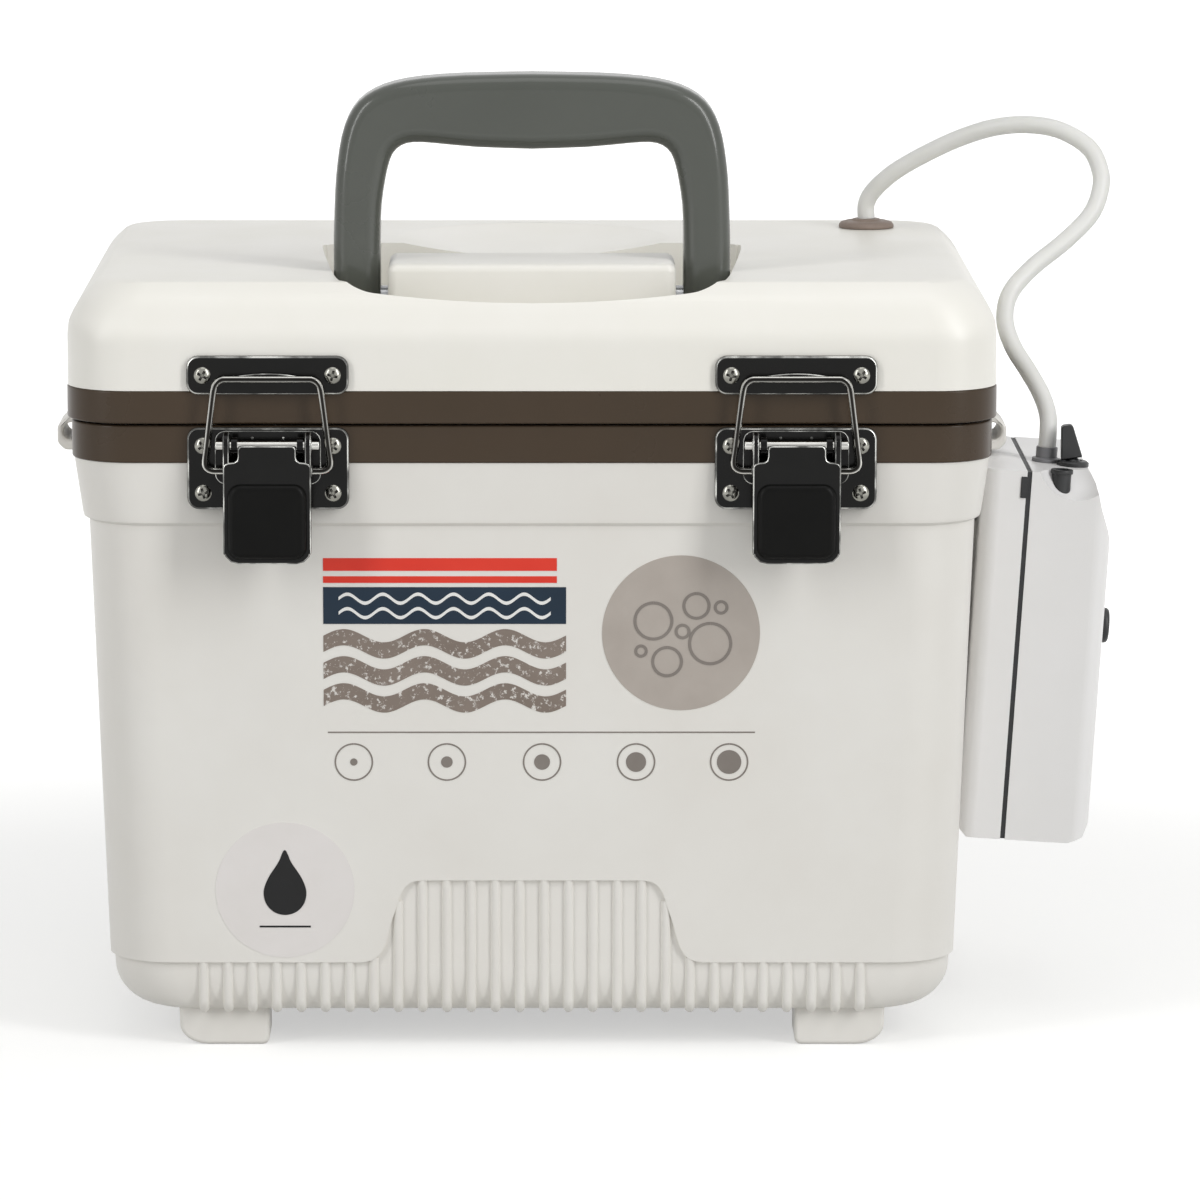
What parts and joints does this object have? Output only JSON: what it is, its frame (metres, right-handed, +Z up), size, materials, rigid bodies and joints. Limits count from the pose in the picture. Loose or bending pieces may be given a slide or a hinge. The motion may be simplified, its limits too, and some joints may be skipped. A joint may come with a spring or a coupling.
{
  "type": "insulated live-bait bucket",
  "caption": "Insulated lidded bait box with draw latches, folding carry handle, side air pump and air hose through the lid.",
  "frame": {"origin": "on the surface it stands on, under the middle of the tub", "axes": "+X towards the side with the air pump, -Y towards the front with the latches, +Z up"},
  "size_m": [0.3572, 0.2382, 0.319],
  "materials": {
    "tub_plastic": "satin moulded plastic, warm grey white",
    "lid_plastic": "satin moulded plastic, warm white",
    "liner_plastic": "glossy white moulding",
    "foam": "closed-cell foam",
    "band_plastic": "satin taupe brown",
    "gasket_rubber": "soft grey-black",
    "handle_plastic": "satin grey green",
    "latch_enamel": "gloss black enamel on steel",
    "bright_steel": "bright plated",
    "plain_steel": "plain steel",
    "hose_vinyl": "milky vinyl tube",
    "grommet_rubber": "soft taupe",
    "stone": "sintered, porous",
    "barb_plastic": "mid grey",
    "black_plastic": "satin black",
    "cell_jacket": "plain wrapped cell",
    "contact_brass": "bright",
    "diaphragm_rubber": "soft black"
  },
  "bodies": {
    "tub": {"outer_tub": "tub_plastic", "foam_core": "foam", "inner_liner": "liner_plastic", "body_rim_band": "band_plastic", "hinge_body_knuckles": "tub_plastic", "hinge_rod": "plain_steel", "latch_base_left": "latch_enamel", "latch_base_right": "latch_enamel", "latch_base_screws": "bright_steel", "latch_pivot_pins": "bright_steel", "air_hose": "hose_vinyl", "pump_bracket": "tub_plastic", "pump_bracket_screws": "bright_steel", "pump_back_cover": "tub_plastic", "pump_seal": "gasket_rubber", "pump_front_housing": "tub_plastic", "pump_hose_barb": "barb_plastic", "pump_intake_cap": "black_plastic", "pump_toggle_base": "black_plastic", "battery_tray": "black_plastic", "battery_front": "cell_jacket", "battery_rear": "cell_jacket", "battery_springs": "bright_steel", "battery_contacts": "contact_brass", "pump_motor": "plain_steel", "pump_diaphragm": "diaphragm_rubber", "pump_head": "black_plastic"},
    "lid": {"lid_shell": "lid_plastic", "lid_foam": "foam", "lid_liner": "liner_plastic", "lid_rim_band": "band_plastic", "lid_gasket": "gasket_rubber", "hinge_lid_knuckles": "lid_plastic", "latch_keeper_left": "latch_enamel", "latch_keeper_right": "latch_enamel", "latch_keeper_screws": "bright_steel", "handle_pivot_pins": "plain_steel", "hose_grommet": "grommet_rubber", "air_hose_drop": "hose_vinyl", "air_stone": "stone"},
    "carry_handle": {"handle": "handle_plastic"},
    "lever_left": {"latch_lever_left": "latch_enamel"},
    "lever_right": {"latch_lever_right": "latch_enamel"},
    "bail_left": {"latch_bail_left": "bright_steel"},
    "bail_right": {"latch_bail_right": "bright_steel"},
    "toggle": {"pump_toggle": "black_plastic"},
    "button": {"pump_button": "black_plastic"},
    "rotor": {"pump_rotor": "plain_steel"}
  },
  "joints": [
    {"name": "lid_hinge", "type": "hinge", "parent": "tub", "child": "lid", "pos_m": [0, 0.1132, 0.206], "axis": [-1, 0, 0], "range_deg": [0, 100], "deforming": ["air_hose"]},
    {"name": "handle_fold", "type": "hinge", "parent": "lid", "child": "carry_handle", "pos_m": [0, -0.062, 0.245], "axis": [-1, 0, 0], "range_deg": [0, 90]},
    {"name": "latch_left_lever", "type": "hinge", "parent": "tub", "child": "lever_left", "pos_m": [-0.0853, -0.1132, 0.203], "axis": [-1, 0, 0], "range_deg": [0, 150]},
    {"name": "latch_left_bail", "type": "hinge", "parent": "lever_left", "child": "bail_left", "pos_m": [-0.0853, -0.1116, 0.1945], "axis": [-1, 0, 0], "range_deg": [-160, 0]},
    {"name": "latch_right_lever", "type": "hinge", "parent": "tub", "child": "lever_right", "pos_m": [0.0853, -0.1132, 0.203], "axis": [-1, 0, 0], "range_deg": [0, 150]},
    {"name": "latch_right_bail", "type": "hinge", "parent": "lever_right", "child": "bail_right", "pos_m": [0.0853, -0.1116, 0.1945], "axis": [-1, 0, 0], "range_deg": [-160, 0]},
    {"name": "pump_toggle_tilt", "type": "hinge", "parent": "tub", "child": "toggle", "pos_m": [0.18149, -0.024, 0.18381], "axis": [0, 1, 0], "range_deg": [0, 24]},
    {"name": "pump_button_press", "type": "slide", "parent": "tub", "child": "button", "axis": [-0.998, 0, 0.0628], "range_m": [0, 0.0012], "stiffness_N_per_m": 400},
    {"name": "motor_spin", "type": "hinge", "parent": "tub", "child": "rotor", "pos_m": [0.17043, -0.006, 0.15144], "axis": [0, 1, 0], "continuous": true}
  ],
  "couplings": [
    {"joint": "latch_left_bail", "follows": "latch_left_lever", "ratio": -1.05},
    {"joint": "latch_right_bail", "follows": "latch_right_lever", "ratio": -1.05}
  ]
}
